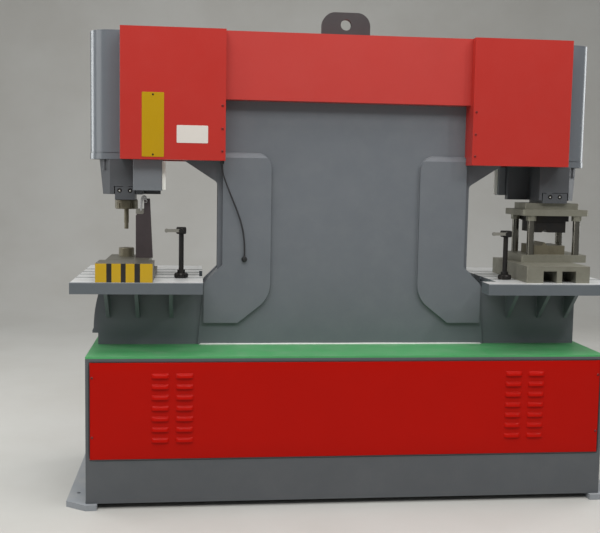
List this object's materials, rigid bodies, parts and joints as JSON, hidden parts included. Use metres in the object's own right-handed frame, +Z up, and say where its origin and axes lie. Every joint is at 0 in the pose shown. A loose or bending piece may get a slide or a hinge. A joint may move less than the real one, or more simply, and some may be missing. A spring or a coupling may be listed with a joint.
{
  "type": "hydraulic ironworker",
  "caption": "Long double-ended hydraulic ironworker with a punching station, a press station, tables, sheet covers and a louvred base.",
  "frame": {"origin": "on the floor, under the middle of the machine", "axes": "+X along the machine to the operator's right, the operator stands on the -Y side, +Z up"},
  "size_m": [2.476, 0.84, 2.203],
  "materials": {
    "base_grey": "semi-gloss enamel on steel plate",
    "foot_grey": "semi-gloss enamel on steel plate",
    "green_paint": "semi-gloss enamel",
    "red_panel_paint": "glossy sprayed enamel",
    "red_cover_paint": "glossy sprayed enamel",
    "grey_paint": "semi-gloss enamel on steel plate",
    "dark_grey_paint": "enamel on flame-cut steel",
    "housing_grey": "semi-gloss enamel",
    "cap_grey": "semi-gloss enamel on rolled sheet",
    "switch_grey": "semi-gloss enamel",
    "table_steel": "ground top, painted edges",
    "striped_paint": "yellow and black stripes on the front",
    "yellow_paint": "plain painted sheet",
    "white_sealant": "smoothed bead",
    "chromed_steel": "polished",
    "bright_steel": "turned",
    "oiled_steel": "oiled, dark",
    "die_set_steel": "ground and oiled",
    "black_steel": "blackened",
    "dark_screws": "blackened",
    "tank_grey": "enamel",
    "motor_grey": "enamel on ribbed casting",
    "cast_grey": "as cast",
    "valve_aluminium": "machined",
    "pipe_steel": "drawn tube",
    "black_plastic": "moulded",
    "black_rubber": "smooth sheath"
  },
  "bodies": {
    "machine": {"base_cabinet": "base_grey", "base_top": "green_paint", "foot_strips": "foot_grey", "front_panel": "red_panel_paint", "rear_panel": "red_panel_paint", "frame_plate_front": "grey_paint", "frame_plate_rear": "grey_paint", "frame_web": "grey_paint", "centre_plates": "grey_paint", "throat_doublers": "grey_paint", "foot_bead": "white_sealant", "lifting_lug": "dark_grey_paint", "left_cover_box": "red_cover_paint", "right_cover_box": "red_cover_paint", "beam_cover": "red_cover_paint", "left_end_cap": "cap_grey", "right_end_cap": "cap_grey", "cover_screws": "dark_screws", "left_table": "table_steel", "right_table": "table_steel", "table_gussets": "grey_paint", "left_cylinder": "grey_paint", "right_cylinder": "grey_paint", "left_ram_housing": "housing_grey", "right_ram_housing": "housing_grey", "die": "oiled_steel", "die_block": "striped_paint", "stripper": "black_steel", "switch_boxes": "switch_grey", "guide_posts": "chromed_steel", "lower_shoe": "die_set_steel", "die_insert": "oiled_steel", "riser": "die_set_steel", "slug_chute": "grey_paint", "tank": "tank_grey", "tank_fittings": "black_plastic", "motor": "motor_grey", "pump_unit": "cast_grey", "valve_block": "valve_aluminium", "pipes": "pipe_steel", "blank_plate": "yellow_paint", "cable": "black_rubber", "cable_glands": "black_plastic"},
    "left_ram": {"left_ram": "chromed_steel", "left_tool_holder": "housing_grey", "punch_nut": "oiled_steel", "punch": "oiled_steel"},
    "right_ram": {"right_ram": "chromed_steel", "right_tool_holder": "housing_grey", "upper_shoe": "die_set_steel", "punch_plate": "die_set_steel", "backing_plate": "oiled_steel", "press_punch": "black_steel"},
    "left_gauge": {"left_gauge": "black_steel"},
    "left_gauge_lever": {"left_gauge_lever": "bright_steel"},
    "right_gauge": {"right_gauge": "black_steel"},
    "right_gauge_lever": {"right_gauge_lever": "bright_steel"},
    "stripper_lever": {"stripper_lever": "bright_steel"},
    "motor_rotor": {"motor_rotor": "bright_steel"}
  },
  "joints": [
    {"name": "left_ram_slide", "type": "slide", "parent": "machine", "child": "left_ram", "axis": [0, 0, -1], "range_m": [0, 0.1]},
    {"name": "right_ram_slide", "type": "slide", "parent": "machine", "child": "right_ram", "axis": [0, 0, -1], "range_m": [0, 0.06]},
    {"name": "left_gauge_slide", "type": "slide", "parent": "machine", "child": "left_gauge", "axis": [1, 0, 0], "range_m": [-0.08, 0.06]},
    {"name": "left_gauge_lever_hinge", "type": "hinge", "parent": "left_gauge", "child": "left_gauge_lever", "pos_m": [-0.751, -0.2115, 1.195], "axis": [0, 1, 0], "range_deg": [-60, 60]},
    {"name": "right_gauge_slide", "type": "slide", "parent": "machine", "child": "right_gauge", "axis": [1, 0, 0], "range_m": [-0.04, 0.018]},
    {"name": "right_gauge_lever_hinge", "type": "hinge", "parent": "right_gauge", "child": "right_gauge_lever", "pos_m": [0.742, -0.2115, 1.195], "axis": [0, 1, 0], "range_deg": [-60, 60]},
    {"name": "stripper_lever_hinge", "type": "hinge", "parent": "machine", "child": "stripper_lever", "pos_m": [-0.914, -0.0973, 1.322], "axis": [0, -1, 0], "range_deg": [0, 75]},
    {"name": "motor_spin", "type": "hinge", "parent": "machine", "child": "motor_rotor", "pos_m": [-0.26, 0, 0.453], "axis": [1, 0, 0], "continuous": true}
  ]
}
